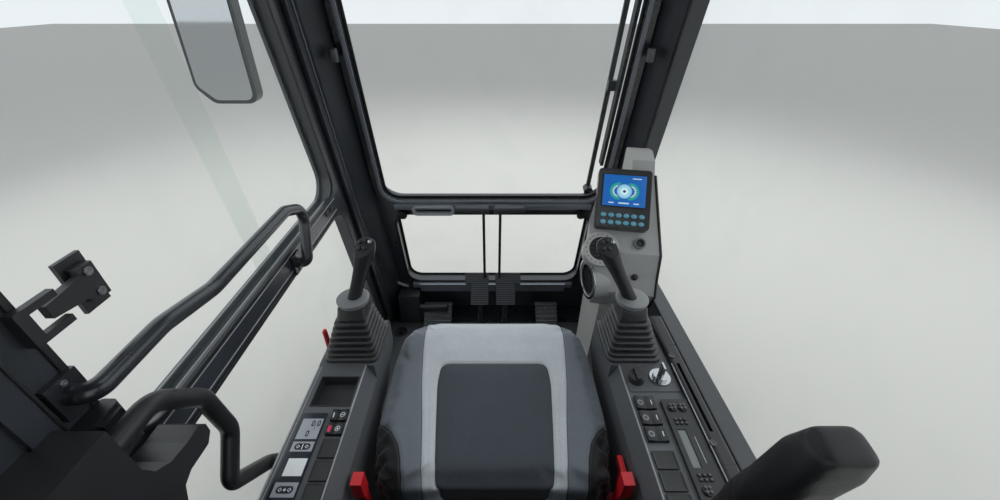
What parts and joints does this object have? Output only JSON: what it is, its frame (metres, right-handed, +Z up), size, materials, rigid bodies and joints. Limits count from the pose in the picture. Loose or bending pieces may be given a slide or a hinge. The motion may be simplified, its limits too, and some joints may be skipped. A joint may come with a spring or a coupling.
{
  "type": "excavator operator cab",
  "caption": "Complete operator's cab of a compact excavator: glazed leaning-front body, hinged door, sliding reclining seat, consoles with joysticks, travel pedals, display column and mirror.",
  "frame": {"origin": "centre of the four mounting holes, on the underside of the floor frame", "axes": "+Z up along the mounting bolts, +Y forward towards the leaning front window, +X to the operator's right"},
  "size_m": [1.3351, 1.7014, 1.69],
  "materials": {
    "cab_paint": "anthracite powder coat, satin",
    "black_paint": "black powder coat, satin",
    "clear_glass": "clear toughened glass",
    "console_grey": "mid grey grained moulding",
    "column_grey": "light grey grained moulding",
    "black_plastic": "black grained moulding",
    "switch_black": "black switch plastic",
    "boot_rubber": "black pleated rubber",
    "mat_rubber": "ribbed black rubber",
    "red_plastic": "red plastic",
    "seat_fabric": "dark grey woven centre, mid grey sides, light grey band",
    "seat_steel": "black painted steel",
    "soft_black": "black moulded foam skin",
    "screen": "black display housing",
    "chrome": "bright plated",
    "mirror": "silvered"
  },
  "bodies": {
    "cab": {"floor_frame": "black_paint", "floor_plate": "black_paint", "pillar_hinges": "black_paint", "floor_mat": "mat_rubber", "left_side_frame": "cab_paint", "right_side_frame": "cab_paint", "front_frame": "cab_paint", "rear_wall": "cab_paint", "roof_panel": "cab_paint", "front_window_frame": "black_paint", "front_upper_pane": "clear_glass", "front_lower_pane": "clear_glass", "right_side_pane": "clear_glass", "quarter_pane": "clear_glass", "rear_pane": "clear_glass", "roof_pane": "clear_glass", "left_console": "console_grey", "right_console": "console_grey", "left_switches": "switch_black", "right_switches": "switch_black", "radio": "switch_black", "console_trim_rail": "soft_black", "ignition_key": "chrome", "turn_knob": "black_plastic", "left_boot": "boot_rubber", "right_boot": "boot_rubber", "left_grip": "black_plastic", "right_grip": "black_plastic", "monitor_column": "column_grey", "monitor": "screen", "left_travel_lever": "black_paint", "right_travel_lever": "black_paint", "left_footrest": "black_paint", "right_footrest": "black_paint", "heater_box": "black_plastic", "sill_bar": "black_plastic", "seat_suspension": "boot_rubber", "seat_lower_rails": "seat_steel", "safety_bar": "soft_black", "rear_left_trim": "black_plastic", "mirror_housing": "black_plastic", "mirror_glass": "mirror", "wiper": "black_plastic", "window_fittings": "console_grey", "column_fittings": "black_plastic"},
    "door": {"door_frame": "cab_paint", "door_hinges": "black_paint", "door_front_pane": "clear_glass", "door_rear_pane": "clear_glass", "door_lower_pane": "clear_glass", "door_grab_rail": "black_paint", "door_latch": "black_plastic", "door_outer_handle": "black_plastic"},
    "seat": {"seat_pan": "seat_steel", "seat_cushion": "seat_fabric", "seat_buckles": "red_plastic"},
    "backrest": {"backrest_frame": "seat_steel", "backrest_cushion": "seat_fabric"},
    "armrest": {"right_armrest": "soft_black"}
  },
  "joints": [
    {"name": "door_hinge", "type": "hinge", "parent": "cab", "child": "door", "pos_m": [-0.514, 0.54938, 0.8], "axis": [0, 0.2079, -0.9781], "range_deg": [0, 100]},
    {"name": "seat_slide", "type": "slide", "parent": "cab", "child": "seat", "axis": [0, 1, 0], "range_m": [-0.11, 0.025]},
    {"name": "backrest_recline", "type": "hinge", "parent": "seat", "child": "backrest", "pos_m": [0, -0.262, 0.54], "axis": [-1, 0, 0], "range_deg": [0, 20]},
    {"name": "armrest_fold", "type": "hinge", "parent": "backrest", "child": "armrest", "pos_m": [0.34, -0.31776, 0.73007], "axis": [1, 0, 0], "range_deg": [-80, 0]}
  ]
}
